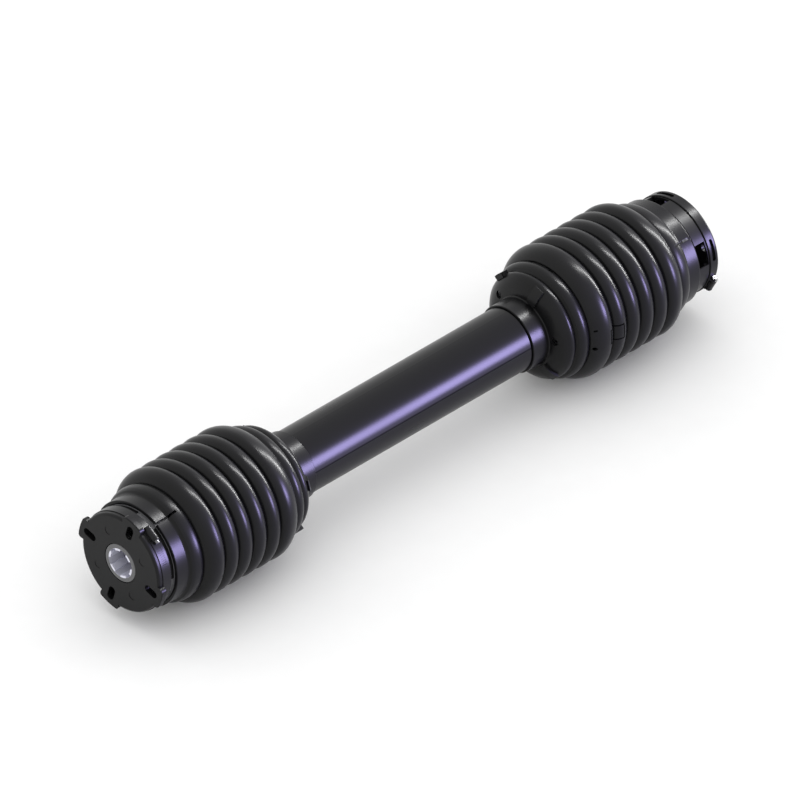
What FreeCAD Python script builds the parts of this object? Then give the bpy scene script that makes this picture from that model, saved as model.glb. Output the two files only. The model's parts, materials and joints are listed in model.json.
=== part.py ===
"""Agricultural driveline: a telescopic shaft with a universal joint at each end, in a full plastic guard.

The shaft lies along X. The outer face of the first end's mounting plate is at X = 0, and the second
end's at X = LENGTH. Each end is drawn once, in an end frame whose X runs from its plate into the shaft,
then put in place.
Angles about the shaft are in degrees from +Z towards +Y. Units are millimetres.
"""
import FreeCAD, Part
import math
import os

from FreeCAD import Vector

ORIGIN = Vector(0, 0, 0)
AXIS = Vector(1, 0, 0)
UP = Vector(0, 0, 1)

# overall
LENGTH = 845.0
RECESS = 8.4  # how far the second end's yoke and bellows sit inside its plate
JOINT = 126.3  # yoke face to the centre of the joint's cross

# mounting plate
PLATE_THICK = 6.1
PLATE_R = 58.0
PLATE_FACE_R = 55.0
HUB_HOLE_R = 23.2
EAR_ANGLE = -17.0
EAR_R = 64.0
EAR_WIDTH = 27.0
EAR_ROUND = 5.0
SLOT_WIDTH = 9.3
SLOT_IN = 39.0
SLOT_OUT = 57.0
SECOND_SLOT_OUT = 53.0
DIMPLE_ANGLE = 28.0
DIMPLE_AT = 38.0
DIMPLE_R = 5.0
DIMPLE_DEEP = 0.35
ENDS_RIM_R = 54.3

# clamp band, the ring behind the plate, and the sleeve that the bellows' neck snaps on to
BAND_WIDE = 12.2
RING_R = 57.9
BAND_R = 58.9
RING_SHOULDER_IN = 52.0
RING_SHOULDER_END = 18.0
RING_NECK_IN = 55.2
GROOVE_OUT = 56.3
SECOND_WALL_R = 57.0
SLEEVE_IN = 53.6
SLEEVE_R = 57.5
SLEEVE_PAST_NECK = 21.0
BEAD_R = 58.7
WINDOW_WIDTH = 28.0
WINDOW_END = 30.0
POCKET_WIDTH = 18.0
POCKET_SKIN = 0.9
WORM_R = 2.4
BARREL_R = 4.3
BARREL_LONG = 17.4

# bellows, measured from the free end of the neck
NECK_AT = 23.9
NECK_R = 62.0
NECK_IN = 58.2
CREST_R = 78.0
CREASE_R = 70.6
CREST_IN = 75.4
CREASE_IN = 67.0
FIRST_CREST = 50.3
PITCH = 20.78
RIDGES = 6
FOOT_U = 34.4
EDGE_U = 173.0
SLIT_LONG = 27.0
SLIT_WIDE = 2.8
PORT_ANGLE = 89.0
PORT_U = 141.5
PORT_HALF = (10.5, 9.5)
PORT_GAP = 0.8

# cone base
COLLAR_R = 39.7
COLLAR_END_U = 230.7
STOP_U = 204.0
WEB_U = 199.9
DOME_FOOT = (196.8, 61.2)
DOME_MIDDLE = (204.0, 53.2)
DOME_TOP = (207.2, COLLAR_R + 1.4)
BEARING_R = 47.4
TAB_ANGLES = (16.5, 136.5, 256.5)
TAB_PROUD = 2.6
TAB_HALF = 6.2
SCREW_ANGLES = (81.0, -54.0, 196.0)
FIXING_R = 47.0
LUG_ANGLE = -45.0
SECOND_EDGE_SLOTS = (-18.0, 8.0, 119.0)

# guard tubes and shaft tubes
OUTER_GUARD_R = 37.5
OUTER_GUARD_IN = 35.0
INNER_GUARD_R = 34.6
INNER_GUARD_IN = 32.2
OUTER_GUARD_END = 580.5
INNER_GUARD_END = 262.0
LOBE_AT = 15.0
OUTER_LOBE = (14.0, 10.5)
INNER_LOBE = (10.0, 6.5)
OUTER_TUBE_END = 612.0
INNER_TUBE_END = 232.0
SOCKET_AT = 175.0

# yokes and cross
HUB_R = 22.4
SPLINE_MINOR = 14.85
SPLINE_MAJOR = 17.45
SPLINE_KEY = 8.7
TEETH = 6
THROAT = 38.0
EAR_INNER = 24.5
EAR_OUTER = 40.0
EAR_HALF = 19.0
YOKE_ROUND = 42.0
CUP_R = 13.5
CUP_SPAN = 37.3
TRUNNION_R = 10.0
TRUNNION_CLEAR = 0.06
INNER_HUB_R = 35.0
INNER_HUB_END = 222.0
GROOVE_R = 32.0
GROOVE_FROM = 209.0
GROOVE_TO = 215.0
BEARING_CLEAR = 0.05

# quick-release pin
PIN_R = 5.95
PIN_HOLE_R = 6.0
PIN_AT = 50.0
PIN_OFFSET = 21.0
BOSS_HALF = 20.0
SPRING_LONG = 10.0
SPRING_R = 7.3
WIRE_R = 0.6


# ---------------------------------------------------------------- helpers
def cylinder(r, x0, x1):
    return Part.makeCylinder(r, x1 - x0, Vector(x0, 0, 0), AXIS)


def pipe(r_out, r_in, x0, x1):
    return cylinder(r_out, x0, x1).cut(cylinder(r_in, x0 - 1, x1 + 1))


def box(x0, x1, y0, y1, z0, z1):
    return Part.makeBox(x1 - x0, y1 - y0, z1 - z0, Vector(x0, y0, z0))


def turned(shape, angle):
    """The shape turned about the shaft, by degrees from +Z towards +Y."""
    out = shape.copy()
    out.rotate(ORIGIN, AXIS, -angle)
    return out


def around(shape, angles):
    return fused([turned(shape, a) for a in angles])


def quarters(first):
    return [first + 90.0 * k for k in range(4)]


def fused(shapes):
    out = shapes[0]
    if len(shapes) > 1:
        out = out.multiFuse(shapes[1:])
    return out


def outline(start, steps):
    """Edges through (x, r) points. A step of four numbers is an arc through its first point to its second."""
    edges = []
    at = Vector(start[0], 0, start[1])
    for step in steps:
        to = Vector(step[-2], 0, step[-1])
        if len(step) == 4:
            middle = Vector(step[0], 0, step[1])
            edges.append(Part.Arc(at, middle, to).toShape())
        else:
            edges.append(Part.LineSegment(at, to).toShape())
        at = to
    first = Vector(start[0], 0, start[1])
    if at.distanceToPoint(first) > 1e-6:
        edges.append(Part.LineSegment(at, first).toShape())
    return edges


def revolved(start, steps, degrees=360.0):
    face = Part.Face(Part.Wire(outline(start, steps)))
    return face.revolve(ORIGIN, AXIS, degrees)


def sector(r0, r1, x0, x1, angle, width):
    """A piece of ring, centred at an angle."""
    face = revolved((x0, r0), [(x1, r0), (x1, r1), (x0, r1)], width)
    return turned(face, angle + width / 2.0)


def flank(crest, foot, rising):
    """An arc, level at the crest, between a bellows foot and its crest."""
    dx = crest[0] - foot[0]
    drop = crest[1] - foot[1]
    radius = (dx * dx + drop * drop) / (2.0 * drop)
    half = dx / 2.0
    middle_r = crest[1] - radius + math.sqrt(radius * radius - half * half)
    end = crest if rising else foot
    return (crest[0] - half, middle_r, end[0], end[1])


def prism(lobe_r, x0, x1):
    """A rounded triangle along X: three lobes joined by flats."""
    points = []
    for k in range(3):
        a = math.radians(120.0 * k)
        points.append((LOBE_AT * math.sin(a), LOBE_AT * math.cos(a)))
    wire = Part.makePolygon([Vector(x0, y, z) for y, z in points + points[:1]])
    solids = [Part.Face(wire).extrude(Vector(x1 - x0, 0, 0))]
    for k in range(3):
        a = math.radians(120.0 * k + 60.0)
        y0, z0 = points[k]
        y1, z1 = points[(k + 1) % 3]
        oy = lobe_r * math.sin(a)
        oz = lobe_r * math.cos(a)
        side = [(y0, z0), (y1, z1), (y1 + oy, z1 + oz), (y0 + oy, z0 + oz), (y0, z0)]
        strip = Part.makePolygon([Vector(x0, y, z) for y, z in side])
        solids.append(Part.Face(strip).extrude(Vector(x1 - x0, 0, 0)))
        solids.append(Part.makeCylinder(lobe_r, x1 - x0, Vector(x0, y0, z0), AXIS))
    return fused(solids).removeSplitter()


# ---------------------------------------------------------------- mounting plate, ring and clamp
def radial_slot(x0, x1, slot_out):
    half = SLOT_WIDTH / 2.0
    middle = box(x0, x1, -half, half, SLOT_IN + half, slot_out - half)
    ends = [
        Part.makeCylinder(half, x1 - x0, Vector(x0, 0, SLOT_IN + half), AXIS),
        Part.makeCylinder(half, x1 - x0, Vector(x0, 0, slot_out - half), AXIS),
    ]
    return fused([middle] + ends)


def ear():
    """A lug that carries the outer end of a bolt slot, with rounded corners."""
    lug = sector(PLATE_FACE_R - 6, EAR_R, 0.0, PLATE_THICK, 0.0, EAR_WIDTH)
    corners = []
    for edge in lug.Edges:
        at = edge.CenterOfMass
        across = edge.BoundBox.YLength + edge.BoundBox.ZLength
        if across < 0.01 and math.hypot(at.y, at.z) > EAR_R - 0.1:
            corners.append(edge)
    lug = lug.makeFillet(EAR_ROUND, corners)
    rounded = revolved(
        (0, 0),
        [(0, EAR_R - 1.2), (0.35, EAR_R - 0.35, 1.2, EAR_R), (PLATE_THICK, EAR_R), (PLATE_THICK, 0)],
    )
    return lug.common(rounded)


def plate_holes(shape, slot_out):
    shape = shape.cut(around(radial_slot(-1, PLATE_THICK + 1, slot_out), quarters(EAR_ANGLE)))
    dimple = Part.makeCylinder(DIMPLE_R, DIMPLE_DEEP + 1, Vector(-1, 0, DIMPLE_AT), AXIS)
    shape = shape.cut(around(dimple, quarters(DIMPLE_ANGLE)))
    return shape.cut(cylinder(HUB_HOLE_R, -1, PLATE_THICK + 1))


def eared_plate():
    disc = revolved(
        (0, 0), [(0, PLATE_FACE_R), (0.9, 57.1, 3.0, PLATE_R), (PLATE_THICK, PLATE_R), (PLATE_THICK, 0)]
    )
    return plate_holes(disc.fuse(around(ear(), quarters(EAR_ANGLE))), SLOT_OUT)


def plain_plate():
    disc = revolved((0, 0), [(0, ENDS_RIM_R), (PLATE_THICK, ENDS_RIM_R), (PLATE_THICK, 0)])
    return plate_holes(disc, SECOND_SLOT_OUT)


def adapter_ring(neck_at, outer, window_from):
    """The wall behind the plate, from its outer (x, r) profile, with a pocket and window at each slot."""
    end = neck_at + 0.4
    steps = outer[1:] + [
        (end, outer[-1][1]),
        (end, RING_NECK_IN),
        (RING_SHOULDER_END, RING_NECK_IN),
        (RING_SHOULDER_END, RING_SHOULDER_IN),
        (PLATE_THICK, RING_SHOULDER_IN),
    ]
    ring = revolved(outer[0], steps)
    pocket_r = outer[0][1] - POCKET_SKIN
    pocket = sector(48.0, pocket_r, PLATE_THICK - 1, RING_SHOULDER_END + 1, 0.0, POCKET_WIDTH)
    window = sector(48.0, 62.0, window_from, WINDOW_END, 0.0, WINDOW_WIDTH)
    ring = ring.cut(around(pocket, quarters(EAR_ANGLE)))
    return ring.cut(around(window, quarters(EAR_ANGLE)))


def first_ring_profile():
    return [(PLATE_THICK, RING_R), (PLATE_THICK + BAND_WIDE, RING_R), (PLATE_THICK + BAND_WIDE, GROOVE_OUT)]


def second_ring_profile():
    neck_at = NECK_AT + RECESS
    return [
        (PLATE_THICK, ENDS_RIM_R),
        (BAND_WIDE, ENDS_RIM_R),
        (BAND_WIDE, GROOVE_OUT),
        (BAND_WIDE + 1.4, GROOVE_OUT),
        (BAND_WIDE + 1.4, SECOND_WALL_R),
        (neck_at - 4.2, SECOND_WALL_R),
        (neck_at - 4.2, GROOVE_OUT),
    ]


def neck_sleeve(neck_at, start):
    """A ring pressed into the wall. The neck of the bellows snaps over its bead."""
    end = neck_at + SLEEVE_PAST_NECK
    bead = neck_at + 8.0
    steps = [
        (start, RING_NECK_IN - 0.02),
        (neck_at + 0.5, RING_NECK_IN - 0.02),
        (neck_at + 0.5, SLEEVE_R),
        (bead - 1.5, SLEEVE_R),
        (bead, BEAD_R, bead + 1.5, SLEEVE_R),
        (end - 1.0, SLEEVE_R),
        (end, SLEEVE_R - 1.0),
        (end, SLEEVE_IN),
    ]
    return revolved((start, SLEEVE_IN), steps)


def clamp_band():
    """A thin steel band with rolled edges. The worm's thread marks are pressed into it beside the housing."""
    x0 = PLATE_THICK
    x1 = PLATE_THICK + BAND_WIDE
    band = revolved(
        (x0, RING_R),
        [(x0, BAND_R - 0.3), (x0 + 0.3, BAND_R), (x1 - 0.3, BAND_R), (x1, BAND_R - 0.3), (x1, RING_R)],
    )
    mark = sector(BAND_R - 0.35, BAND_R + 1, x0 + 3.4, x1 - 3.4, 0.0, 0.9)
    return band.cut(around(mark, [-52.0 - 2.2 * k for k in range(9)]))


def rim_band():
    """The second end's deeper rim: an oblong pocket in it behind each bolt slot."""
    band = revolved(
        (0, ENDS_RIM_R),
        [(0, PLATE_FACE_R + 1.4), (0.6, 57.4, 2.0, PLATE_R), (BAND_WIDE - 0.6, PLATE_R),
         (BAND_WIDE, PLATE_R - 0.6), (BAND_WIDE, ENDS_RIM_R)],
    )
    floor_r = PLATE_R - 2.8
    pockets = []
    for a in quarters(EAR_ANGLE):
        pockets.append(sector(floor_r, PLATE_R + 2, 4.2, 9.0, a, 21.0))
        for end in (-10.5, 10.5):
            hole = Part.makeCylinder(2.4, 10.0, Vector(6.6, 0, floor_r), UP)
            pockets.append(turned(hole, a + end))
    return band.cut(fused(pockets))


def worm(radius, x, base_r, reach_low, reach_high):
    """A rod across the shaft, just above the band."""
    at = Vector(x, -reach_low, base_r + 1.5)
    return Part.makeCylinder(radius, reach_low + reach_high, at, Vector(0, 1, 0))


def clamp_housing(x, angle, base_r):
    """The half-round barrel that the clamp's worm turns in, with ribs round it."""
    half = BARREL_LONG / 2.0
    barrel = worm(BARREL_R, x, base_r, half, half)
    foot = box(x - BARREL_R - 1.0, x + BARREL_R + 1.0, -half, half, base_r - 2.0, base_r + 1.2)
    shape = barrel.fuse(foot)
    for y in (-half + 2.0, half - 2.8):
        ring = worm(BARREL_R + 2.0, x, base_r, -y, y + 0.8)
        shape = shape.cut(ring.cut(worm(BARREL_R - 0.35, x, base_r, -y + 1.0, y + 1.8)))
    shape = shape.cut(worm(WORM_R + 0.05, x, base_r, half + 1, half + 1))
    return turned(shape.cut(cylinder(base_r, x - 20, x + 20)), angle)


def clamp_screw(x, angle, base_r):
    """The slotted worm, whose head stands out of its housing."""
    half = BARREL_LONG / 2.0
    middle = base_r + 1.5
    rod = worm(WORM_R, x, base_r, half + 3.6, half)
    slot = box(x - 4.0, x + 4.0, -half - 4.0, -half - 2.4, middle - 0.5, middle + 0.5)
    return turned(rod.cut(slot).cut(cylinder(base_r, x - 20, x + 20)), angle)


# ---------------------------------------------------------------- bellows
def crest_us():
    return [FIRST_CREST + PITCH * k for k in range(RIDGES)]


def bellows_solid():
    """The flexible cone as one moulding: a slit neck, six ridges, and an edge on the cone base."""
    x = NECK_AT
    crests = crest_us()
    half = PITCH / 2.0
    steps = [(x + 0.8, NECK_R), (x + 16.0, NECK_R), (x + 18.6, 64.4), (x + 19.2, 65.2)]
    steps.append((x + 23.0, 67.1, x + 27.5, 67.7))
    steps.append((x + 31.8, 67.5, x + FOOT_U, 66.5))
    steps.append(flank((x + crests[0], CREST_R), (x + FOOT_U, 66.5), True))
    for k, u in enumerate(crests[:-1]):
        foot = (x + u + half, CREASE_R)
        steps.append(flank((x + u, CREST_R), foot, False))
        steps.append(flank((x + crests[k + 1], CREST_R), foot, True))
    steps.append(flank((x + crests[-1], CREST_R), (x + EDGE_U, 67.6), False))
    steps.append((x + EDGE_U, 65.0))
    steps.append(flank((x + crests[-1], CREST_IN), (x + EDGE_U, 65.0), True))
    for k in range(RIDGES - 1, 0, -1):
        foot = (x + crests[k] - half, CREASE_IN)
        steps.append(flank((x + crests[k], CREST_IN), foot, False))
        steps.append(flank((x + crests[k - 1], CREST_IN), foot, True))
    steps.append(flank((x + crests[0], CREST_IN), (x + FOOT_U, 63.4), False))
    steps.append((x + 27.5, 64.9))
    steps.append((x + 21.0, 63.0))
    steps.append((x + 18.0, NECK_IN))
    steps.append((x + 10.5, NECK_IN))
    steps.append((x + 8.0, 59.9, x + 5.5, NECK_IN))
    steps.append((x, NECK_IN))
    return revolved((x, NECK_R - 0.8), steps)


def port_box(gap):
    """The outline of the opening that a grease gun goes through, less a gap all round."""
    half_x = PORT_HALF[0] - gap
    half_y = PORT_HALF[1] - gap
    x = NECK_AT + PORT_U
    return turned(box(x - half_x, x + half_x, -half_y, half_y, 60.0, 90.0), PORT_ANGLE)


def bellows(slit_angle):
    slit = box(NECK_AT - 1, NECK_AT + SLIT_LONG, -SLIT_WIDE / 2, SLIT_WIDE / 2, 50, 75)
    body = bellows_solid().cut(around(slit, quarters(slit_angle)))
    body = body.cut(port_box(0.0))
    vent = box(NECK_AT + 165.5, NECK_AT + 170.5, -1.0, 1.0, 60, 80)
    body = body.cut(turned(vent, 78.0))
    drain = Part.makeCylinder(2.5, 20, Vector(NECK_AT + 169.0, 0, 60), UP)
    return body.cut(turned(drain, 96.0))


def lube_port_cover():
    """A flap that closes the lubrication opening, flush with the ridges."""
    return bellows_solid().common(port_box(PORT_GAP))


# ---------------------------------------------------------------- cone base, its bearing and fixings
def dome(proud, inner_x):
    """A solid under the domed end of the cone base, raised by a distance along and about the shaft."""
    x = NECK_AT + proud
    up = proud * 0.45
    foot = (x + DOME_FOOT[0], DOME_FOOT[1] + up)
    middle = (x + DOME_MIDDLE[0], DOME_MIDDLE[1] + up)
    top = (x + DOME_TOP[0], DOME_TOP[1])
    return revolved((inner_x, foot[1]), [foot, middle + top, (top[0], 0), (inner_x, 0)])


def cone_base(tube_r, web_in, turn, edge_slots):
    """The cone's rigid end: a skirt inside the bellows, two rounded rings, a domed end and a tube collar."""
    x = NECK_AT
    steps = [(x + 161.8, 64.8), (x + EDGE_U, 64.8), (x + EDGE_U, 66.0), (x + 174.6, 66.6)]
    steps.append((x + 181.0, 67.7, x + 186.6, 64.6))
    steps.append((x + 189.0, 60.4))
    steps.append((x + 192.2, 62.2, x + DOME_FOOT[0], DOME_FOOT[1]))
    steps.append((x + DOME_MIDDLE[0], DOME_MIDDLE[1], x + DOME_TOP[0], DOME_TOP[1]))
    steps.append((x + DOME_TOP[0] + 0.4, COLLAR_R + 0.4, x + DOME_TOP[0] + 1.4, COLLAR_R))
    steps.append((x + COLLAR_END_U - 0.7, COLLAR_R))
    steps.append((x + COLLAR_END_U, COLLAR_R - 0.7))
    steps.append((x + COLLAR_END_U, tube_r))
    steps.append((x + STOP_U, tube_r))
    steps.append((x + STOP_U, web_in))
    steps.append((x + WEB_U, web_in))
    steps.append((x + WEB_U, BEARING_R + 0.1))
    steps.append((x + 185.0, BEARING_R + 0.1))
    steps.append((x + 185.0, 50.4))
    steps.append((x + 196.6, 50.4))
    steps.append((x + 196.6, 56.0))
    steps.append((x + 194.6, 58.4))
    steps.append((x + 187.4, 57.2))
    steps.append((x + 184.6, 61.6))
    steps.append((x + 181.0, 64.0, x + 175.5, 62.0))
    steps.append((x + 161.0, 62.0))
    base = revolved((x + 161.0, 64.0), steps)
    lug = sector(60.0, 66.0, x + 191.4, x + 198.8, LUG_ANGLE, 13.0)
    lug = lug.fuse(sector(60.0, 65.2, x + 190.6, x + 199.6, LUG_ANGLE, 11.6))
    base = base.fuse(turned(lug, turn))
    for a in TAB_ANGLES:
        opening = box(x + WEB_U - 1, x + 212, -5.4, 5.4, 43.4, 50.3)
        base = base.cut(turned(opening, a + turn))
    for a in SCREW_ANGLES:
        hole = Part.makeCylinder(4.4, 20, Vector(x + 201.2, 0, FIXING_R), AXIS)
        shank = Part.makeCylinder(2.1, 30, Vector(x + 190, 0, FIXING_R), AXIS)
        base = base.cut(turned(hole.fuse(shank), a + turn))
    for a in edge_slots:
        base = base.cut(sector(65.4, 72.0, x + EDGE_U - 1, x + 176.8, a, 4.6))
    return base


def guard_bearing(turn):
    """A split plastic ring: its lip runs in the groove of the inner yoke."""
    x0 = NECK_AT + 184.0
    x1 = NECK_AT + WEB_U
    lip_in = GROOVE_R + BEARING_CLEAR
    ring = revolved(
        (x0, 36.0),
        [(x0, BEARING_R), (x1, BEARING_R), (x1, 36.0), (GROOVE_TO - 0.3, 36.0), (GROOVE_TO - 0.3, lip_in),
         (GROOVE_FROM + 0.3, lip_in), (GROOVE_FROM + 0.3, 36.0)],
    )
    gap = box(x0 - 1, x1 + 1, -1.6, 1.6, -60, 0)
    for a in SCREW_ANGLES:
        hole = Part.makeCylinder(2.1, 12, Vector(x1 - 10, 0, FIXING_R), AXIS)
        ring = ring.cut(turned(hole, a + turn))
    return ring.cut(gap)


def latch_tabs(turn):
    """Three snap tabs: a pad on the dome, and a leg that reaches the bearing through the end wall."""
    x = NECK_AT
    inner_x = x + WEB_U
    pad = box(inner_x, x + 215, -TAB_HALF, TAB_HALF, 42.6, 61.5)
    pad = pad.common(dome(TAB_PROUD, inner_x)).cut(dome(0.02, inner_x - 5))
    leg = box(inner_x, x + 207.0, -5.2, 5.2, 44.2, 46.8)
    return around(pad.fuse(leg), [a + turn for a in TAB_ANGLES])


def cone_screws(turn):
    x = NECK_AT
    out = []
    for a in SCREW_ANGLES:
        head = Part.makeCylinder(3.8, 2.4, Vector(x + 201.2, 0, FIXING_R), AXIS)
        shank = Part.makeCylinder(2.0, 3.6, Vector(x + 197.6, 0, FIXING_R), AXIS)
        socket = box(x + 202.4, x + 204, -2.4, 2.4, FIXING_R - 0.5, FIXING_R + 0.5)
        cross = box(x + 202.4, x + 204, -0.5, 0.5, FIXING_R - 2.4, FIXING_R + 2.4)
        out.append(turned(head.fuse(shank).cut(socket).cut(cross), a + turn))
    return Part.makeCompound(out)


# ---------------------------------------------------------------- tubes
def guard_tube(r_out, r_in, x0, x1, seam_angle):
    tube = pipe(r_out, r_in, x0, x1)
    seam = box(x0 - 1, x1 + 1, -0.6, 0.6, r_out - 0.7, r_out + 1)
    return tube.cut(turned(seam, seam_angle))


def shaft_tube(lobes, x0, x1, pin_x):
    tube = prism(lobes[0], x0, x1).cut(prism(lobes[1], x0 - 1, x1 + 1))
    hole = Part.makeCylinder(5.02, 120, Vector(pin_x, 0, -60), UP)
    return tube.cut(hole)


# ---------------------------------------------------------------- yokes and cross, drawn about the joint
def fork():
    """Two ears above and below the joint, on a base behind it."""
    depth = THROAT + 12.0
    blank = box(-depth, 0, -EAR_HALF, EAR_HALF, -EAR_OUTER, EAR_OUTER)
    eye = Part.makeCylinder(EAR_HALF, 2 * EAR_OUTER, Vector(0, 0, -EAR_OUTER), UP)
    blank = blank.fuse(eye).common(cylinder(YOKE_ROUND, -depth, 30))
    base = revolved(
        (-depth, 0), [(-depth, 33.0), (-depth + 5, 37.0, -depth + 9, 38.0), (-THROAT, 38.0), (-THROAT, 0)]
    )
    blank = blank.fuse(base)
    throat = Part.makeCylinder(EAR_INNER, 120, Vector(-THROAT + EAR_INNER, -60, 0), Vector(0, 1, 0))
    mouth = box(-THROAT + EAR_INNER, 60, -60, 60, -EAR_INNER, EAR_INNER)
    blank = blank.cut(throat).cut(mouth)
    bore = Part.makeCylinder(CUP_R + 0.02, 120, Vector(0, 0, -60), UP)
    ring = Part.makeCylinder(CUP_R + 1.4, 1.6, Vector(0, 0, CUP_SPAN), UP)
    ring2 = Part.makeCylinder(CUP_R + 1.4, 1.6, Vector(0, 0, -CUP_SPAN - 1.6), UP)
    return blank.cut(fused([bore, ring, ring2]))


def spline_bore(x0, x1):
    keys = []
    for k in range(TEETH):
        key = box(x0, x1, -SPLINE_KEY / 2, SPLINE_KEY / 2, 0, SPLINE_MAJOR + 3)
        keys.append(turned(key, 60.0 * k + 45.0))
    grooves = fused(keys).common(cylinder(SPLINE_MAJOR, x0, x1))
    return cylinder(SPLINE_MINOR, x0, x1).fuse(grooves)


def outer_yoke():
    """Splined hub, boss for the quick-release pin, and a fork whose ears are above and below the joint."""
    head = fork()
    head.translate(Vector(JOINT, 0, 0))
    back = JOINT - THROAT - 12.0
    hub = revolved(
        (0, 0),
        [(0, HUB_R - 0.5), (0.5, HUB_R), (back - 12, HUB_R), (back - 4, 25.6, back, 33.0), (back, 0)],
    )
    boss = box(PIN_AT - 10, PIN_AT + 10, 8.0, PIN_OFFSET + 9.5, -BOSS_HALF, BOSS_HALF)
    boss = boss.common(cylinder(33.0, PIN_AT - 20, PIN_AT + 20))
    hole = Part.makeCylinder(PIN_HOLE_R, 100, Vector(PIN_AT, PIN_OFFSET, -50), UP)
    return fused([hub, head, boss]).cut(spline_bore(-1, JOINT - THROAT + 8)).cut(hole)


def pin_piece(radius, z0, z1):
    return Part.makeCylinder(radius, z1 - z0, Vector(PIN_AT, PIN_OFFSET, z0), UP)


def release_pin():
    """A pin across the bore, waisted so that it clears the stub's groove once its button is pushed in."""
    top = BOSS_HALF + SPRING_LONG
    shaft = pin_piece(PIN_R, -BOSS_HALF - 2.5, top)
    waist = pin_piece(PIN_R + 1, 3.5, 13.5).cut(pin_piece(2.6, 3.5, 13.5))
    collar = pin_piece(8.0, -BOSS_HALF - 1.7, -BOSS_HALF - 0.1)
    button = pin_piece(8.2, top, top + 4.0)
    rim = [e for e in button.Edges if abs(e.CenterOfMass.z - top - 4.0) < 0.01]
    return shaft.cut(waist).fuse(collar).fuse(button.makeChamfer(0.8, rim))


def pin_spring():
    """A coil between the boss and the button."""
    pitch = (SPRING_LONG - 2 * WIRE_R) / 4.0
    helix = Part.makeHelix(pitch, pitch * 4.0, SPRING_R)
    helix.translate(Vector(PIN_AT, PIN_OFFSET, BOSS_HALF + WIRE_R))
    start = Vector(PIN_AT + SPRING_R, PIN_OFFSET, BOSS_HALF + WIRE_R)
    section = Part.Wire(Part.makeCircle(WIRE_R, start, Vector(0, 1, 0)))
    return Part.Wire(helix).makePipeShell([section], True, True)


def cross():
    """Four trunnions on a rounded core."""
    core = Part.makeSphere(17.5).common(cylinder(17.0, -13.0, 13.0))
    arms = []
    for k in range(4):
        arm = Part.makeCylinder(TRUNNION_R, 34.9, ORIGIN, UP)
        root = Part.makeCylinder(12.6, 20.3, ORIGIN, UP)
        arms.append(turned(arm.fuse(root), 90.0 * k))
    shape = fused([core] + arms)
    tap = Part.makeCylinder(2.6, 12, Vector(0, 0, 12), UP)
    seat = Part.makeCylinder(4.6, 12, Vector(0, 0, 18.3), UP)
    shape = shape.cut(turned(tap.fuse(seat), 45.0))
    shape.translate(Vector(JOINT, 0, 0))
    return shape


def grease_nipple():
    stem = Part.makeCylinder(2.55, 4.2, Vector(0, 0, 14.2), UP)
    nut = Part.makeCylinder(4.2, 2.6, Vector(0, 0, 18.4), UP)
    neck = Part.makeCylinder(2.0, 2.2, Vector(0, 0, 21.0), UP)
    tip = Part.makeCone(3.0, 1.8, 2.6, Vector(0, 0, 23.2), UP)
    shape = turned(fused([stem, nut, neck, tip]), 45.0)
    shape.translate(Vector(JOINT, 0, 0))
    return shape


def seals():
    ring = Part.makeCylinder(13.2, 2.0, Vector(0, 0, 20.4), UP)
    ring = ring.cut(Part.makeCylinder(TRUNNION_R + 0.03, 4.0, Vector(0, 0, 19), UP))
    out = Part.makeCompound([turned(ring, 90.0 * k) for k in range(4)])
    out.translate(Vector(JOINT, 0, 0))
    return out


def cups(first):
    """Two needle-bearing cups, either side of the joint."""
    cup = Part.makeCylinder(CUP_R, CUP_SPAN - 22.5, Vector(0, 0, 22.5), UP)
    hollow = Part.makeCylinder(TRUNNION_R + TRUNNION_CLEAR, 12.5, Vector(0, 0, 22.5), UP)
    cup = cup.cut(hollow)
    out = Part.makeCompound([turned(cup, first + 180.0 * k) for k in range(2)])
    out.translate(Vector(JOINT, 0, 0))
    return out


def circlips(first):
    clip = Part.makeCylinder(CUP_R + 1.2, 1.3, Vector(0, 0, CUP_SPAN), UP)
    clip = clip.cut(Part.makeCylinder(CUP_R - 2.6, 4, Vector(0, 0, CUP_SPAN - 1), UP))
    gap = box(-3.0, 3.0, 0, 20, CUP_SPAN - 1, CUP_SPAN + 4)
    lugs = [Part.makeCylinder(2.0, 1.3, Vector(dx, CUP_R - 3.0, CUP_SPAN), UP) for dx in (-5.0, 5.0)]
    eyes = [Part.makeCylinder(0.9, 4, Vector(dx, CUP_R - 3.0, CUP_SPAN - 1), UP) for dx in (-5.0, 5.0)]
    clip = clip.cut(gap).fuse(fused(lugs)).cut(fused(eyes))
    out = Part.makeCompound([turned(clip, first + 180.0 * k) for k in range(2)])
    out.translate(Vector(JOINT, 0, 0))
    return out


def inner_yoke(lobes):
    """A fork either side of the joint, and a hub with the guard's groove and the tube's socket."""
    head = turned(fork(), 90.0)
    head.rotate(ORIGIN, UP, 180.0)
    head.translate(Vector(JOINT, 0, 0))
    front = JOINT + THROAT + 12.0
    hub = revolved(
        (front, 0),
        [(front, 33.0), (front + 1.0, INNER_HUB_R), (GROOVE_FROM, INNER_HUB_R), (GROOVE_FROM, GROOVE_R),
         (GROOVE_TO, GROOVE_R), (GROOVE_TO, INNER_HUB_R), (INNER_HUB_END - 1, INNER_HUB_R),
         (INNER_HUB_END, INNER_HUB_R - 1), (INNER_HUB_END, 0)],
    )
    shape = head.fuse(hub).cut(prism(lobes[0] + 0.05, SOCKET_AT, INNER_HUB_END + 2))
    hole = Part.makeCylinder(5.02, 120, Vector(SOCKET_AT + 17, 0, -60), UP)
    return shape.cut(hole)


def roll_pin():
    x = SOCKET_AT + 17
    pin = Part.makeCylinder(5.0, 66, Vector(x, 0, -33), UP)
    pin = pin.cut(Part.makeCylinder(2.9, 80, Vector(x, 0, -40), UP))
    return pin.cut(box(x - 12, x, -0.7, 0.7, -40, 40))


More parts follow.
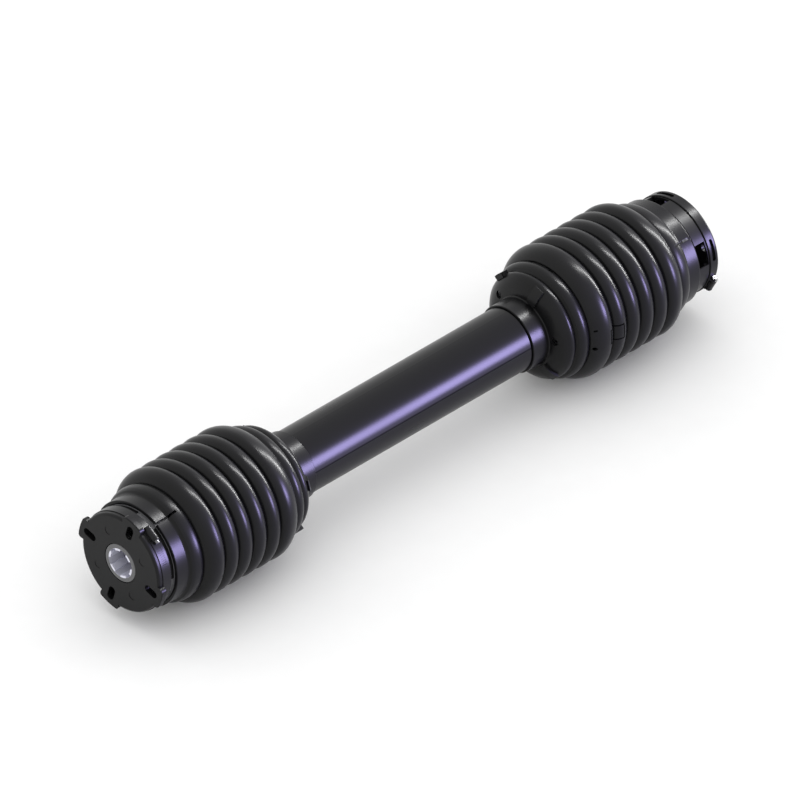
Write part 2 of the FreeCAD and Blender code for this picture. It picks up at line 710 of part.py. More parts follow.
# ---------------------------------------------------------------- the two ends
def second(shape, inside=True):
    """Moves a shape drawn in the end frame to the second end."""
    out = shape.copy()
    if inside:
        out.translate(Vector(RECESS, 0, 0))
    out.rotate(ORIGIN, UP, 180.0)
    out.translate(Vector(LENGTH, 0, 0))
    return out


def driveline(prefix, lobes, put):
    return {
        prefix + "_outer_yoke": put(outer_yoke()),
        prefix + "_release_pin": put(release_pin()),
        prefix + "_pin_spring": put(pin_spring()),
        prefix + "_cross": put(cross()),
        prefix + "_grease_nipple": put(grease_nipple()),
        prefix + "_seals": put(seals()),
        prefix + "_outer_cups": put(cups(0.0)),
        prefix + "_inner_cups": put(cups(90.0)),
        prefix + "_outer_circlips": put(circlips(0.0)),
        prefix + "_inner_circlips": put(circlips(90.0)),
        prefix + "_inner_yoke": put(inner_yoke(lobes)),
        prefix + "_roll_pin": put(roll_pin()),
    }


def cone(prefix, slit_angle, tube_r, web_in, turn, edge_slots, put):
    return {
        prefix + "_bellows": put(bellows(slit_angle)),
        prefix + "_lube_port_cover": put(lube_port_cover()),
        prefix + "_cone_base": put(cone_base(tube_r, web_in, turn, edge_slots)),
        prefix + "_guard_bearing": put(guard_bearing(turn)),
        prefix + "_latch_tabs": put(latch_tabs(turn)),
        prefix + "_cone_screws": put(cone_screws(turn)),
    }


def first_flange():
    band_mid = PLATE_THICK + BAND_WIDE / 2.0
    return {
        "near_mounting_plate": eared_plate(),
        "near_adapter_ring": adapter_ring(NECK_AT, first_ring_profile(), PLATE_THICK + BAND_WIDE),
        "near_neck_sleeve": neck_sleeve(NECK_AT, RING_SHOULDER_END),
        "near_clamp_band": clamp_band(),
        "near_clamp_housing": clamp_housing(band_mid, -35.0, BAND_R),
        "near_clamp_screw": clamp_screw(band_mid, -35.0, BAND_R),
    }


def second_flange():
    neck_at = NECK_AT + RECESS
    shapes = {
        "far_mounting_plate": plain_plate(),
        "far_adapter_ring": adapter_ring(neck_at, second_ring_profile(), BAND_WIDE + 1.4),
        "far_neck_sleeve": neck_sleeve(neck_at, WINDOW_END),
        "far_rim_band": rim_band(),
        "far_clamp_housing": clamp_housing(PLATE_THICK, 118.0, PLATE_R),
        "far_clamp_screw": clamp_screw(PLATE_THICK, 118.0, PLATE_R),
    }
    return {name: second(shape, inside=False) for name, shape in shapes.items()}


def tubes():
    guard_start = NECK_AT + STOP_U
    pin_x = SOCKET_AT + 17
    far_pin_x = LENGTH - RECESS - pin_x
    return {
        "outer_guard_tube": guard_tube(OUTER_GUARD_R, OUTER_GUARD_IN, guard_start, OUTER_GUARD_END, -78.0),
        "inner_guard_tube": guard_tube(
            INNER_GUARD_R, INNER_GUARD_IN, INNER_GUARD_END, LENGTH - RECESS - guard_start, 102.0
        ),
        "outer_shaft_tube": shaft_tube(OUTER_LOBE, SOCKET_AT, OUTER_TUBE_END, pin_x),
        "inner_shaft_tube": shaft_tube(INNER_LOBE, INNER_TUBE_END, LENGTH - RECESS - SOCKET_AT, far_pin_x),
    }


def assembly():
    parts = {}
    parts.update(first_flange())
    parts.update(second_flange())
    parts.update(cone("near", -29.0, OUTER_GUARD_R, OUTER_GUARD_IN, -90.0, (), lambda s: s))
    parts.update(cone("far", 47.5, INNER_GUARD_R, INNER_GUARD_IN, 0.0, SECOND_EDGE_SLOTS, second))
    parts.update(driveline("near", OUTER_LOBE, lambda s: s))
    parts.update(driveline("far", INNER_LOBE, second))
    parts.update(tubes())
    return parts


os.makedirs("parts", exist_ok=True)
for name, shape in assembly().items():
    shape.exportStep("parts/" + name + ".step")
    volume = round(shape.Volume / 1000.0, 1)
    print(name, "solids", len(shape.Solids), "valid", shape.isValid(), "volume", volume)
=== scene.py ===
"""Looks of a guarded telescopic driveline: ribbed bellows, guard tube, slotted plates and the joints inside.

Lengths in the tables below are millimetres, as in the CAD source; MM turns them into the scene's metres.
X runs along the shaft from the near plate, and angles about it are in degrees from +Z towards +Y.
"""

import json
import math

import bmesh
import bpy
from mathutils import Matrix, Vector


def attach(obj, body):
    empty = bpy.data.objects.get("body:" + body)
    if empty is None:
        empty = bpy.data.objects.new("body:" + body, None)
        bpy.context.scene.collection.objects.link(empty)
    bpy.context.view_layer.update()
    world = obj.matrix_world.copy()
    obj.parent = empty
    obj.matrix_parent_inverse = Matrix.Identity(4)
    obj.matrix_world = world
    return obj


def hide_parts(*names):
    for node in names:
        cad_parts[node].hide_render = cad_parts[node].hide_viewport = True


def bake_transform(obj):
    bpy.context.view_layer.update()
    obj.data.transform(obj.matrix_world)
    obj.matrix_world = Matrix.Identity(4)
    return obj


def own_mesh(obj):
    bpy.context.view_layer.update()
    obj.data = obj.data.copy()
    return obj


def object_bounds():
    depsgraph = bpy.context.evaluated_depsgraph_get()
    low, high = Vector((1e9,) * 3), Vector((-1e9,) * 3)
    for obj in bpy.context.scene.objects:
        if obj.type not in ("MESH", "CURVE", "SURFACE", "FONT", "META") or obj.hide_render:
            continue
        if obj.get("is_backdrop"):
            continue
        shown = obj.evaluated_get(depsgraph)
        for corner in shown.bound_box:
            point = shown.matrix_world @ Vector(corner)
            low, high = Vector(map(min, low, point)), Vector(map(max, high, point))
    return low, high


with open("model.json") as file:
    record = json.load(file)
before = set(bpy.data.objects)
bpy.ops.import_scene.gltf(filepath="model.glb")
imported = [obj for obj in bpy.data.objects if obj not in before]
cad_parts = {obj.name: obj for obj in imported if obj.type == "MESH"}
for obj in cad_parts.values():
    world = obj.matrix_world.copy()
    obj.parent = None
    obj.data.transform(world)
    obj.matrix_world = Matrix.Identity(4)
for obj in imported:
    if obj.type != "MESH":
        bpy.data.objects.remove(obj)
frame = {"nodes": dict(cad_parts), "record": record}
cad_box = [list(corner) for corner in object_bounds()]
NODES = frame["nodes"]
MM = 0.001
LENGTH_M = round(cad_box[1][0], 4)

# the two ends, which are drawn alike: the far one is the near one turned about the middle of the shaft
NEAR = {"name": "near", "neck": 23.9, "flip": False, "slit": -29.0,
        "shaft": "outer_shaft", "guard": "outer_guard"}
FAR = {"name": "far", "neck": 32.3, "flip": True, "slit": 47.5,
       "shaft": "inner_shaft", "guard": "inner_guard"}

# bellows, as moulded: distances along it are from the free end of its neck
NECK_R = 62.0
NECK_IN = 58.2
CREST_R = 78.0
CREASE_R = 70.6
CREST_IN = 75.4
CREASE_IN = 67.0
FIRST_CREST = 50.3
PITCH = 20.78
RIDGES = 6
FOOT_U = 34.4
FOOT_R = 66.5
FOOT_IN = 63.4
EDGE_U = 173.0
EDGE_R = 67.6
EDGE_IN = 65.0
SLIT_LONG = 27.0
SLIT_WIDE = 2.8
SLITS = 4
LAST_CREST = FIRST_CREST + PITCH * (RIDGES - 1)
MIDDLE_U = FIRST_CREST + PITCH * 2.5
TAIL_U = 165.0
SEAM = 0.05  # parting line between the neck and the first half, so that their faces don't meet
PORT_U = 141.5
PORT_ANGLE = 89.0
PORT_SIZE = (21.0, 19.0)
PORT_GAP = 1.6
EDGE_HOLE_R = 68.0
EDGE_HOLE_DEEP = 16.0
EDGE_SLOT_U = 168.6
EDGE_SLOT_ANGLE = 78.0
EDGE_SLOT_SIZE = (3.4, 2.0)
EDGE_DRILL_U = 169.6
EDGE_DRILL_ANGLE = 96.0
EDGE_DRILL_R = 2.2
SEGMENTS = 240
ARC_STEPS = 16
SHARP = math.radians(38.0)

# bore of the yokes, in metres from the axis: the broached part ends between these
BORE_EDGE = (0.01735, 0.0176)

# sockets of a colour mix node
MIX_FACTOR = 0
MIX_ONE = 6
MIX_TWO = 7
MIX_RESULT = 2

# studio and camera, in metres, watts and degrees
FLOOR_HALF = 9.0
FLOOR_GAP = 0.0006
SKY_STRENGTH = 1.2
VIOLET = (0.55, 0.48, 1.0)
WHITE = (1.0, 1.0, 1.0)
LENS_MM = 1500.0
SENSOR_MM = 36.0
AZIMUTH = math.radians(-45.0)
ELEVATION = math.radians(35.264)
VIEW_WIDTH = 0.8533
AIM = Vector((0.4202, 0.0011, 0.0011))
CLIP = (1.0, 200.0)


# ---------------------------------------------------------------- materials
def node(tree, kind, **values):
    """A new shader node with some of its properties set."""
    made = tree.nodes.new(kind)
    for key, value in values.items():
        setattr(made, key, value)
    return made


def material(name):
    """A new material, with its tree, its shader and the object's own coordinates."""
    mat = bpy.data.materials.new(name)
    mat.use_nodes = True
    tree = mat.node_tree
    shader = tree.nodes["Principled BSDF"]
    where = node(tree, "ShaderNodeTexCoord")
    return mat, tree, shader, where.outputs["Object"]


def noise(tree, where, scale, detail=4.0, rough=0.55):
    """Noise from about 0 to 1, with scale repeats in a metre."""
    made = node(tree, "ShaderNodeTexNoise")
    made.inputs["Scale"].default_value = scale
    made.inputs["Detail"].default_value = detail
    made.inputs["Roughness"].default_value = rough
    tree.links.new(where, made.inputs["Vector"])
    return made.outputs["Fac"]


def ramp(tree, value, low, high):
    """Spreads a value from 0 to 1 between low and high."""
    made = node(tree, "ShaderNodeMapRange")
    made.inputs["To Min"].default_value = low
    made.inputs["To Max"].default_value = high
    tree.links.new(value, made.inputs["Value"])
    return made.outputs["Result"]


def window(tree, value, start, end):
    """0 below start, 1 above end."""
    made = node(tree, "ShaderNodeMapRange", interpolation_type="SMOOTHSTEP")
    made.inputs["From Min"].default_value = start
    made.inputs["From Max"].default_value = end
    tree.links.new(value, made.inputs["Value"])
    return made.outputs["Result"]


def mixed(tree, factor, one, two):
    """A mix of two colours, each given as three numbers or as another node's output."""
    made = node(tree, "ShaderNodeMix", data_type="RGBA")
    for socket, value in ((made.inputs[MIX_ONE], one), (made.inputs[MIX_TWO], two)):
        if isinstance(value, tuple):
            socket.default_value = (*value, 1.0)
        else:
            tree.links.new(value, socket)
    tree.links.new(factor, made.inputs[MIX_FACTOR])
    return made.outputs[MIX_RESULT]


def math_node(tree, operation, one, two=None):
    """Arithmetic on numbers and other nodes' outputs."""
    made = node(tree, "ShaderNodeMath", operation=operation)
    for socket, value in zip(made.inputs, (one, two)):
        if value is None:
            continue
        if isinstance(value, float):
            socket.default_value = value
        else:
            tree.links.new(value, socket)
    return made.outputs[0]


def weighed(tree, one, share_of_one, two, share_of_two):
    """Two values added up by their shares."""
    first = math_node(tree, "MULTIPLY", one, share_of_one)
    return math_node(tree, "ADD", first, math_node(tree, "MULTIPLY", two, share_of_two))


def bump(tree, shader, height, strength, distance, under=None):
    """Raises the surface by a height from 0 to 1, over another bump where one is given."""
    made = node(tree, "ShaderNodeBump")
    made.inputs["Strength"].default_value = strength
    made.inputs["Distance"].default_value = distance
    tree.links.new(height, made.inputs["Height"])
    if under is not None:
        tree.links.new(under, made.inputs["Normal"])
    tree.links.new(made.outputs["Normal"], shader.inputs["Normal"])
    return made.outputs["Normal"]


def radius_from_axis(tree, where):
    """Distance from the X axis."""
    parts = node(tree, "ShaderNodeSeparateXYZ")
    tree.links.new(where, parts.inputs[0])
    y2 = math_node(tree, "MULTIPLY", parts.outputs["Y"], parts.outputs["Y"])
    z2 = math_node(tree, "MULTIPLY", parts.outputs["Z"], parts.outputs["Z"])
    return math_node(tree, "SQRT", math_node(tree, "ADD", y2, z2))


def stretched(tree, where, x, y, z):
    """Coordinates scaled along each axis."""
    made = node(tree, "ShaderNodeMapping")
    made.inputs["Scale"].default_value = (x, y, z)
    tree.links.new(where, made.inputs["Vector"])
    return made.outputs["Vector"]


def moulded_plastic(name, dark, light, rough=(0.26, 0.32)):
    """Satin injection-moulded plastic: a fine leathery grain, faint flow marks and a little haze."""
    mat, tree, shader, where = material(name)
    flow = noise(tree, where, 26.0, 5.0, 0.6)
    fine = noise(tree, where, 2600.0, 3.0, 0.5)
    haze = noise(tree, where, 9.0, 3.0, 0.5)
    tree.links.new(mixed(tree, ramp(tree, flow, -0.2, 1.2), dark, light), shader.inputs["Base Color"])
    blend = weighed(tree, haze, 0.6, fine, 0.4)
    tree.links.new(ramp(tree, blend, rough[0] - 0.06, rough[1] + 0.06), shader.inputs["Roughness"])
    shader.inputs["Specular IOR Level"].default_value = 0.16
    under = bump(tree, shader, fine, 0.12, 0.00004)
    bump(tree, shader, haze, 0.03, 0.0006, under)
    return mat


def extruded_plastic(name, dark, light):
    """Smooth extruded tube: drawn lines along its length and light scuffs."""
    mat, tree, shader, where = material(name)
    drawn = noise(tree, stretched(tree, where, 3.0, 700.0, 700.0), 1.0, 4.0, 0.6)
    haze = noise(tree, stretched(tree, where, 4.0, 18.0, 18.0), 1.0, 3.0, 0.5)
    scuff = noise(tree, stretched(tree, where, 40.0, 220.0, 220.0), 1.0, 6.0, 0.7)
    marks = window(tree, scuff, 0.66, 0.74)
    base = mixed(tree, ramp(tree, haze, 0.0, 1.0), dark, light)
    scuffed = mixed(tree, ramp(tree, marks, 0.0, 0.25), base, (0.04, 0.04, 0.043))
    tree.links.new(scuffed, shader.inputs["Base Color"])
    blend = weighed(tree, haze, 0.7, marks, 0.3)
    tree.links.new(ramp(tree, blend, 0.24, 0.36), shader.inputs["Roughness"])
    shader.inputs["Specular IOR Level"].default_value = 0.18
    bump(tree, shader, drawn, 0.12, 0.00005)
    return mat


def coated_metal(name, base, light, rough, level=0.3):
    """Painted or phosphated steel: orange peel and slightly worn high spots."""
    mat, tree, shader, where = material(name)
    peel = noise(tree, where, 900.0, 2.0, 0.5)
    cloud = noise(tree, where, 40.0, 5.0, 0.6)
    tree.links.new(mixed(tree, ramp(tree, cloud, 0.0, 1.0), base, light), shader.inputs["Base Color"])
    tree.links.new(ramp(tree, cloud, rough[0], rough[1]), shader.inputs["Roughness"])
    shader.inputs["Specular IOR Level"].default_value = level
    bump(tree, shader, peel, 0.15, 0.00008)
    return mat


def machined_steel(name, base, light, rough, lines=(60.0, 1400.0, 1400.0)):
    """Turned, ground or drawn steel: fine lines, with a broken gloss between them."""
    mat, tree, shader, where = material(name)
    drawn = noise(tree, stretched(tree, where, *lines), 1.0, 4.0, 0.6)
    cloud = noise(tree, where, 60.0, 4.0, 0.6)
    tree.links.new(mixed(tree, ramp(tree, cloud, 0.0, 1.0), base, light), shader.inputs["Base Color"])
    blend = weighed(tree, drawn, 0.6, cloud, 0.4)
    tree.links.new(ramp(tree, blend, rough[0], rough[1]), shader.inputs["Roughness"])
    shader.inputs["Metallic"].default_value = 1.0
    bump(tree, shader, drawn, 0.2, 0.00003)
    return mat


def yoke_forging(name):
    """Phosphated forging whose end face is turned and whose broached bore is pale steel, tinted lavender:
    the tint is painted violet sheen.
    """
    mat, tree, shader, where = material(name)
    bore = math_node(tree, "SUBTRACT", 1.0, window(tree, radius_from_axis(tree, where), *BORE_EDGE))
    skin = noise(tree, where, 420.0, 6.0, 0.65)
    cloud = noise(tree, where, 45.0, 4.0, 0.6)
    grey = mixed(tree, ramp(tree, cloud, 0.0, 1.0), (0.085, 0.085, 0.088), (0.112, 0.112, 0.115))
    # partly painted sheen: the bore's pale steel tone carries a lavender tint that stands in for the violet
    # light
    bore_tone_and_violet_sheen = mixed(tree, ramp(tree, cloud, 0.0, 1.0), (0.62, 0.62, 0.71), (0.74, 0.74, 0.83))
    tree.links.new(mixed(tree, bore, grey, bore_tone_and_violet_sheen), shader.inputs["Base Color"])
    tree.links.new(math_node(tree, "MULTIPLY", bore, 0.45), shader.inputs["Metallic"])
    rough = math_node(tree, "SUBTRACT", 0.56, math_node(tree, "MULTIPLY", bore, 0.16))
    tree.links.new(rough, shader.inputs["Roughness"])
    turned = noise(tree, stretched(tree, where, 9000.0, 40.0, 40.0), 1.0, 2.0, 0.5)
    under = bump(tree, shader, skin, 0.25, 0.00012)
    bump(tree, shader, turned, 0.05, 0.00005, under)
    return mat


def rubber(name):
    """Dull black seal rubber with a fine grain."""
    mat, tree, shader, where = material(name)
    fine = noise(tree, where, 1500.0, 3.0, 0.5)
    black = mixed(tree, fine, (0.012, 0.012, 0.012), (0.022, 0.022, 0.022))
    tree.links.new(black, shader.inputs["Base Color"])
    tree.links.new(ramp(tree, fine, 0.55, 0.75), shader.inputs["Roughness"])
    bump(tree, shader, fine, 0.3, 0.00006)
    return mat


def nylon(name):
    """Natural, slightly translucent bearing nylon."""
    mat, tree, shader, where = material(name)
    cloud = noise(tree, where, 50.0, 4.0, 0.6)
    tree.links.new(mixed(tree, cloud, (0.5, 0.48, 0.42), (0.62, 0.6, 0.54)), shader.inputs["Base Color"])
    tree.links.new(ramp(tree, cloud, 0.32, 0.45), shader.inputs["Roughness"])
    shader.inputs["Subsurface Weight"].default_value = 0.15
    shader.inputs["Subsurface Radius"].default_value = (0.002, 0.002, 0.0015)
    bump(tree, shader, noise(tree, where, 1800.0), 0.15, 0.00005)
    return mat


def all_materials():
    """The finished material of every slot that the record names."""
    black = ((0.0040, 0.0040, 0.0043), (0.0062, 0.0062, 0.0066))
    cover = ((0.0036, 0.0036, 0.0038), (0.0055, 0.0055, 0.0058))
    tab = ((0.0060, 0.0060, 0.0063), (0.0090, 0.0090, 0.0094))
    # painted light: the sleeve is far paler than the other plastics so that it shows as lit through the
    # slits and slots, where only shade falls
    sleeve = ((0.13, 0.13, 0.137), (0.16, 0.16, 0.168))
    band = ((0.0050, 0.0050, 0.0053), (0.0080, 0.0080, 0.0084))
    paint = ((0.05, 0.05, 0.052), (0.085, 0.085, 0.09))
    screw = ((0.11, 0.11, 0.115), (0.16, 0.16, 0.165))
    tube = ((0.30, 0.30, 0.31), (0.42, 0.42, 0.43))
    cross = ((0.38, 0.38, 0.39), (0.5, 0.5, 0.51))
    cup = ((0.55, 0.55, 0.56), (0.66, 0.66, 0.67))
    brass = ((0.62, 0.42, 0.16), (0.74, 0.54, 0.24))
    pin = ((0.5, 0.5, 0.52), (0.62, 0.62, 0.64))
    spring = ((0.16, 0.16, 0.17), (0.24, 0.24, 0.25))
    recipes = {
        "bellows_plastic": (moulded_plastic, *black),
        "cone_plastic": (moulded_plastic, *black),
        "plate_plastic": (moulded_plastic, *black, (0.30, 0.38)),
        "rim_plastic": (moulded_plastic, *black),
        "cover_plastic": (moulded_plastic, *cover),
        "tab_plastic": (moulded_plastic, *tab),
        "sleeve_plastic": (moulded_plastic, *sleeve, (0.34, 0.42)),
        "tube_plastic": (extruded_plastic, *black),
        "bearing_plastic": (nylon,),
        "band_steel": (coated_metal, *band, (0.24, 0.32), 0.18),
        "screw_steel": (machined_steel, *screw, (0.28, 0.4)),
        "yoke_steel": (yoke_forging,),
        "yoke_paint": (coated_metal, *paint, (0.4, 0.55)),
        "tube_steel": (machined_steel, *tube, (0.3, 0.46)),
        "cross_steel": (machined_steel, *cross, (0.22, 0.34), (900.0,) * 3),
        "cup_steel": (machined_steel, *cup, (0.14, 0.24), (1200.0,) * 3),
        "seal_rubber": (rubber,),
        "nipple_brass": (machined_steel, *brass, (0.2, 0.32), (900.0,) * 3),
        "pin_steel": (machined_steel, *pin, (0.16, 0.28), (1100.0,) * 3),
        "spring_steel": (machined_steel, *spring, (0.28, 0.4), (1100.0,) * 3),
    }
    return {name: make(name, *values) for name, (make, *values) in recipes.items()}


def dress_cad_nodes(materials):
    """Every carried-over CAD node gets the finished material of its record slot."""
    for part in frame["record"]["subparts"]:
        mesh = NODES[part["node"]].data
        mesh.materials.clear()
        mesh.materials.append(materials[part["material_slot"]])


# ---------------------------------------------------------------- bellows
def arc_r(u, crest, crest_r, foot_u, foot_r):
    """Radius at u on the arc that is level at the crest and passes through the foot."""
    dx = crest - foot_u
    drop = crest_r - foot_r
    radius = (dx * dx + drop * drop) / (2.0 * drop)
    return crest_r - radius + math.sqrt(max(radius * radius - (u - crest) ** 2, 0.0))


def ridge_r(u, crest_r, crease_r, foot_r, edge_r):
    """Radius of one face of the bellows wall, from its foot to its edge."""
    k = min(max(round((u - FIRST_CREST) / PITCH), 0), RIDGES - 1)
    crest = FIRST_CREST + PITCH * k
    if u < FIRST_CREST:
        return arc_r(u, crest, crest_r, FOOT_U, foot_r)
    if u > LAST_CREST:
        return arc_r(u, crest, crest_r, EDGE_U, edge_r)
    return arc_r(u, crest, crest_r, crest + PITCH / 2.0, crease_r)


def outer_r(u):
    """Radius of the wall's outside."""
    return ridge_r(u, CREST_R, CREASE_R, FOOT_R, EDGE_R)


def inner_r(u):
    """Radius of the wall's inside."""
    return ridge_r(u, CREST_IN, CREASE_IN, FOOT_IN, EDGE_IN)


def wall_profile(u0, u1):
    """A closed outline of the wall between two stations: out along its outside and back along its inside."""
    stops = [u0, u1]
    for k in range(RIDGES):
        stops.append(FIRST_CREST + PITCH * k)
        if k < RIDGES - 1:
            stops.append(FIRST_CREST + PITCH * (k + 0.5))
    stops = sorted(s for s in stops if u0 <= s <= u1)
    us = [stops[0]]
    for a, b in zip(stops, stops[1:]):
        us += [a + (b - a) * k / ARC_STEPS for k in range(1, ARC_STEPS + 1)]
    outside = [(u, outer_r(u)) for u in us]
    inside = [(u, inner_r(u)) for u in reversed(us)]
    return outside + inside


def curve_through(points, steps=10):
    """A smooth line through a few (u, r) points."""
    out = []
    padded = [points[0]] + points + [points[-1]]
    for a, b, c, d in zip(padded, padded[1:], padded[2:], padded[3:]):
        for k in range(steps):
            t = k / steps
            out.append(tuple(
                0.5 * (2 * b[i] + (c[i] - a[i]) * t
                       + (2 * a[i] - 5 * b[i] + 4 * c[i] - d[i]) * t * t
                       + (3 * b[i] - a[i] - 3 * c[i] + d[i]) * t ** 3)
                for i in range(2)))
    return out + [points[-1]]


def neck_profile():
    """A closed outline of the neck: lip, straight part and shoulder, and back along a grooved inside."""
    outside = [(0.0, NECK_R - 0.8), (0.25, NECK_R - 0.25), (0.8, NECK_R), (1.2, NECK_R)]
    outside += [(15.5, NECK_R), (16.0, NECK_R), (17.2, NECK_R + 0.5), (18.5, 64.0), (19.2, 65.2)]
    outside += curve_through([(19.2, 65.2), (22.6, 66.9), (27.5, 67.7), (31.4, 67.5), (FOOT_U, FOOT_R)])[1:]
    inside = [(FOOT_U, FOOT_IN), (27.5, 64.9), (21.0, 63.0), (18.0, NECK_IN), (10.5, NECK_IN)]
    inside += [(8.0, 59.9), (5.5, NECK_IN), (0.0, NECK_IN)]
    return outside + inside


def placed(end, u, r, angle):
    """A point of one end's bellows: u is from the neck's free end, and angle is the end's own."""
    a = math.radians(angle)
    x = (end["neck"] + u) * MM
    y = r * MM * math.sin(a)
    z = r * MM * math.cos(a)
    if end["flip"]:
        return Vector((LENGTH_M - x, -y, z))
    return Vector((x, y, z))


def linked(mesh, name, mat):
    """A new object in the scene, with one mesh and one material."""
    obj = bpy.data.objects.new(name, mesh)
    bpy.context.scene.collection.objects.link(obj)
    mesh.materials.clear()
    mesh.materials.append(mat)
    return obj


def shade(bm):
    """Smooth shading, with every edge that turns more than SHARP kept crisp."""
    bmesh.ops.recalc_face_normals(bm, faces=bm.faces)
    for face in bm.faces:
        face.smooth = True
    for edge in bm.edges:
        edge.smooth = not (edge.is_manifold and edge.calc_face_angle(0.0) > SHARP)


def revolve(name, end, profile, mat):
    """A ring whose section is a closed outline of (u, r) points."""
    bm = bmesh.new()
    rings = []
    for k in range(SEGMENTS):
        angle = 360.0 * k / SEGMENTS
        rings.append([bm.verts.new(placed(end, u, r, angle)) for u, r in profile])
    count = len(profile)
    for k in range(SEGMENTS):
        one = rings[k]
        two = rings[(k + 1) % SEGMENTS]
        for j in range(count):
            i = (j + 1) % count
            bm.faces.new((one[j], one[i], two[i], two[j]))
    shade(bm)
    mesh = bpy.data.meshes.new(name)
    bm.to_mesh(mesh)
    bm.free()
    return linked(mesh, name, mat)


def cutter(end, u, r, angle, size):
    """A box to cut with: size is along the shaft, across it and outwards."""
    bm = bmesh.new()
    bmesh.ops.create_cube(bm, size=1.0)
    a = math.radians(angle)
    across = Vector((0, math.cos(a), -math.sin(a)))
    out = Vector((0, math.sin(a), math.cos(a)))
    if end["flip"]:
        across = Vector((0, across.y, -across.z))
        out = Vector((0, -out.y, out.z))
    centre = placed(end, u, r, angle)
    for v in bm.verts:
        x, y, z = (c * s * MM for c, s in zip(v.co, size))
        v.co = centre + Vector((x, 0, 0)) + across * y + out * z
    bmesh.ops.recalc_face_normals(bm, faces=bm.faces)
    return bm


def drill(end, u, r, angle, radius, long):
    """A round bar to cut with, pointing outwards."""
    bm = bmesh.new()
    radius_m = radius * MM
    bmesh.ops.create_cone(
        bm, cap_ends=True, segments=32, radius1=radius_m, radius2=radius_m, depth=long * MM)
    out = placed(end, u, 1.0, angle) - placed(end, u, 0.0, angle)
    turn = out.to_track_quat("Z", "Y").to_matrix().to_4x4()
    bmesh.ops.transform(bm, matrix=Matrix.Translation(placed(end, u, r, angle)) @ turn, verts=bm.verts)
    return bm


def cut_away(obj, cutters, operation="DIFFERENCE"):
    """Cuts closed shapes out of obj, or keeps only what is inside them, and shades what is left."""
    for shape in cutters:
        mesh = bpy.data.meshes.new("cut")
        shape.to_mesh(mesh)
        shape.free()
        tool = bpy.data.objects.new("cut", mesh)
        bpy.context.scene.collection.objects.link(tool)
        mod = obj.modifiers.new("cut", "BOOLEAN")
        mod.operation = operation
        mod.solver = "EXACT"
        mod.object = tool
        bpy.context.view_layer.update()
        done = bpy.data.meshes.new_from_object(obj.evaluated_get(bpy.context.evaluated_depsgraph_get()))
        obj.modifiers.clear()
        old = obj.data
        obj.data = done
        bpy.data.meshes.remove(old)
        bpy.data.objects.remove(tool)
    bm = bmesh.new()
    bm.from_mesh(obj.data)
    shade(bm)
    bm.to_mesh(obj.data)
    bm.free()


def port(end, gap):
    """The lubrication opening's outline, less a gap all round."""
    long, wide = (side - 2.0 * gap for side in PORT_SIZE)
    return cutter(end, PORT_U, 75.0, PORT_ANGLE, (long, wide, 30.0))


def bellows(end, mat, flap_mat):
    """One bellows: neck, two halves, the flap in the second, and the tail on the cone."""
    name = end["name"]
    neck = revolve(name + "_bellows_neck", end, neck_profile(), mat)
    slit_size = (SLIT_LONG + 2, SLIT_WIDE, 22.0)
    slits = [cutter(end, SLIT_LONG / 2 - 1, 65.0, end["slit"] + 360.0 / SLITS * k, slit_size)
             for k in range(SLITS)]
    cut_away(neck, slits)
    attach(neck, name + "_flange")

    head = revolve(name + "_bellows_head", end, wall_profile(FOOT_U + SEAM, MIDDLE_U), mat)
    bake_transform(head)
    body = revolve(name + "_bellows_body", end, wall_profile(MIDDLE_U, TAIL_U), mat)
    cut_away(body, [port(end, 0.0)])
    flap = revolve(name + "_port_flap", end, wall_profile(MIDDLE_U, TAIL_U), flap_mat)
    cut_away(flap, [port(end, PORT_GAP)], "INTERSECT")
    for piece in (body, flap):
        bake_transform(piece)
    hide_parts(name + "_lube_port_cover")

    tail = revolve(name + "_bellows_tail", end, wall_profile(TAIL_U, EDGE_U), mat)
    slot = cutter(end, EDGE_SLOT_U, EDGE_HOLE_R, EDGE_SLOT_ANGLE, (*EDGE_SLOT_SIZE, EDGE_HOLE_DEEP))
    hole = drill(end, EDGE_DRILL_U, EDGE_HOLE_R, EDGE_DRILL_ANGLE, EDGE_DRILL_R, EDGE_HOLE_DEEP)
    cut_away(tail, [slot, hole])
    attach(tail, end["guard"])
    for piece in (neck, head, body, tail):
        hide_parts(name + "_bellows")


def pin_spring(name, mat):
    """The release pin's coil, copied as its own piece onto the outer yoke."""
    node_name = name + "_pin_spring"
    piece = linked(NODES[node_name].data.copy(), name + "_coil", mat)
    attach(piece, name + "_outer_yoke")
    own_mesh(piece)
    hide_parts(node_name)


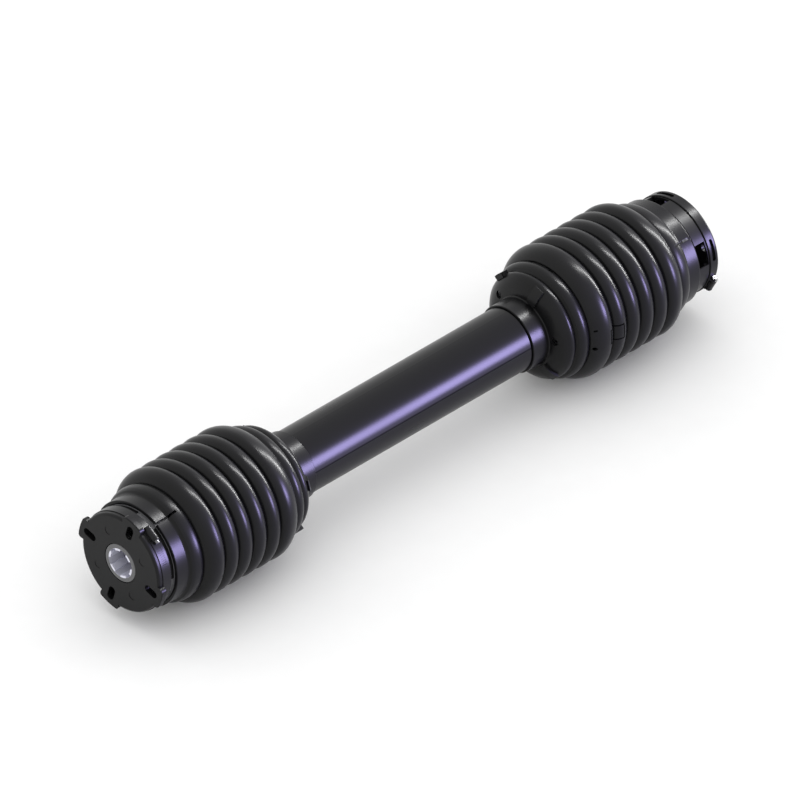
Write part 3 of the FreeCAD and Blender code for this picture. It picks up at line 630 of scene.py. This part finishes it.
# ---------------------------------------------------------------- studio
def area_light(name, target, direction, distance, size, power, colour, unlit_objects):
    """A soft box that lights all but a few objects, which are left to the plain sky."""
    data = bpy.data.lights.new(name, "AREA")
    data.shape = "RECTANGLE"
    data.size = size[0]
    data.size_y = size[1]
    data.energy = power
    data.color = colour
    light = bpy.data.objects.new(name, data)
    bpy.context.scene.collection.objects.link(light)
    towards = Vector(direction).normalized()
    light.location = Vector(target) + towards * distance
    light.rotation_mode = "QUATERNION"
    light.rotation_quaternion = towards.to_track_quat("Z", "Y")
    light.visible_camera = False
    unlit = bpy.data.collections.new(name + "_unlit")
    for obj in unlit_objects:
        unlit.objects.link(obj)
    light.light_linking.receiver_collection = unlit
    for item in unlit.collection_objects:
        item.light_linking.link_state = "EXCLUDE"
    light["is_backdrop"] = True


def studio():
    """Pale floor, plain white sky, a violet soft box at the side and a narrow white strip above."""
    low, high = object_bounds()
    middle = (low + high) / 2
    floor_z = low.z - FLOOR_GAP
    mesh = bpy.data.meshes.new("floor")
    signs = [(-1, -1), (1, -1), (1, 1), (-1, 1)]
    corners = [(middle.x + x * FLOOR_HALF, middle.y + y * FLOOR_HALF, floor_z) for x, y in signs]
    mesh.from_pydata(corners, [], [(0, 1, 2, 3)])
    mat, tree, shader, where = material("floor_paper")
    paper = mixed(tree, noise(tree, where, 30.0), (0.90, 0.90, 0.90), (0.93, 0.93, 0.93))
    tree.links.new(paper, shader.inputs["Base Color"])
    shader.inputs["Roughness"].default_value = 0.9
    shader.inputs["Specular IOR Level"].default_value = 0.1
    floor = linked(mesh, "floor", mat)
    floor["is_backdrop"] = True

    world = bpy.data.worlds.new("studio")
    world.use_nodes = True
    background = world.node_tree.nodes["Background"]
    background.inputs["Color"].default_value = (*WHITE, 1.0)
    background.inputs["Strength"].default_value = SKY_STRENGTH
    bpy.context.scene.world = world
    bpy.context.scene.view_settings.view_transform = "Standard"
    tubes = [NODES["outer_guard_tube"], NODES["inner_guard_tube"]]
    area_light("violet_side", middle, (0.56, -0.80, 0.16), 8.0, (2.0, 2.9), 1300.0, VIOLET, [floor])
    area_light("white_strip", middle, (0.79, -0.12, 0.60), 4.5, (0.16, 6.0), 520.0, WHITE, [floor] + tubes)


def camera():
    """Long lens at the isometric angle, so that the view is all but parallel."""
    data = bpy.data.cameras.new("camera")
    data.lens = LENS_MM
    data.sensor_width = SENSOR_MM
    cam = bpy.data.objects.new("camera", data)
    bpy.context.scene.collection.objects.link(cam)
    distance = VIEW_WIDTH / 2 / math.tan(math.atan(SENSOR_MM / 2 / LENS_MM))
    level = math.cos(ELEVATION)
    back = Vector((math.sin(AZIMUTH) * level, -math.cos(AZIMUTH) * level, math.sin(ELEVATION)))
    cam.location = AIM + back * distance
    cam.rotation_mode = "QUATERNION"
    cam.rotation_quaternion = (-back).to_track_quat("-Z", "Y")
    data.clip_start, data.clip_end = CLIP
    bpy.context.scene.camera = cam


MATERIALS = all_materials()
dress_cad_nodes(MATERIALS)
for side in (NEAR, FAR):
    bellows(side, MATERIALS["bellows_plastic"], MATERIALS["cover_plastic"])
    pin_spring(side["name"], MATERIALS["spring_steel"])
camera()
studio()
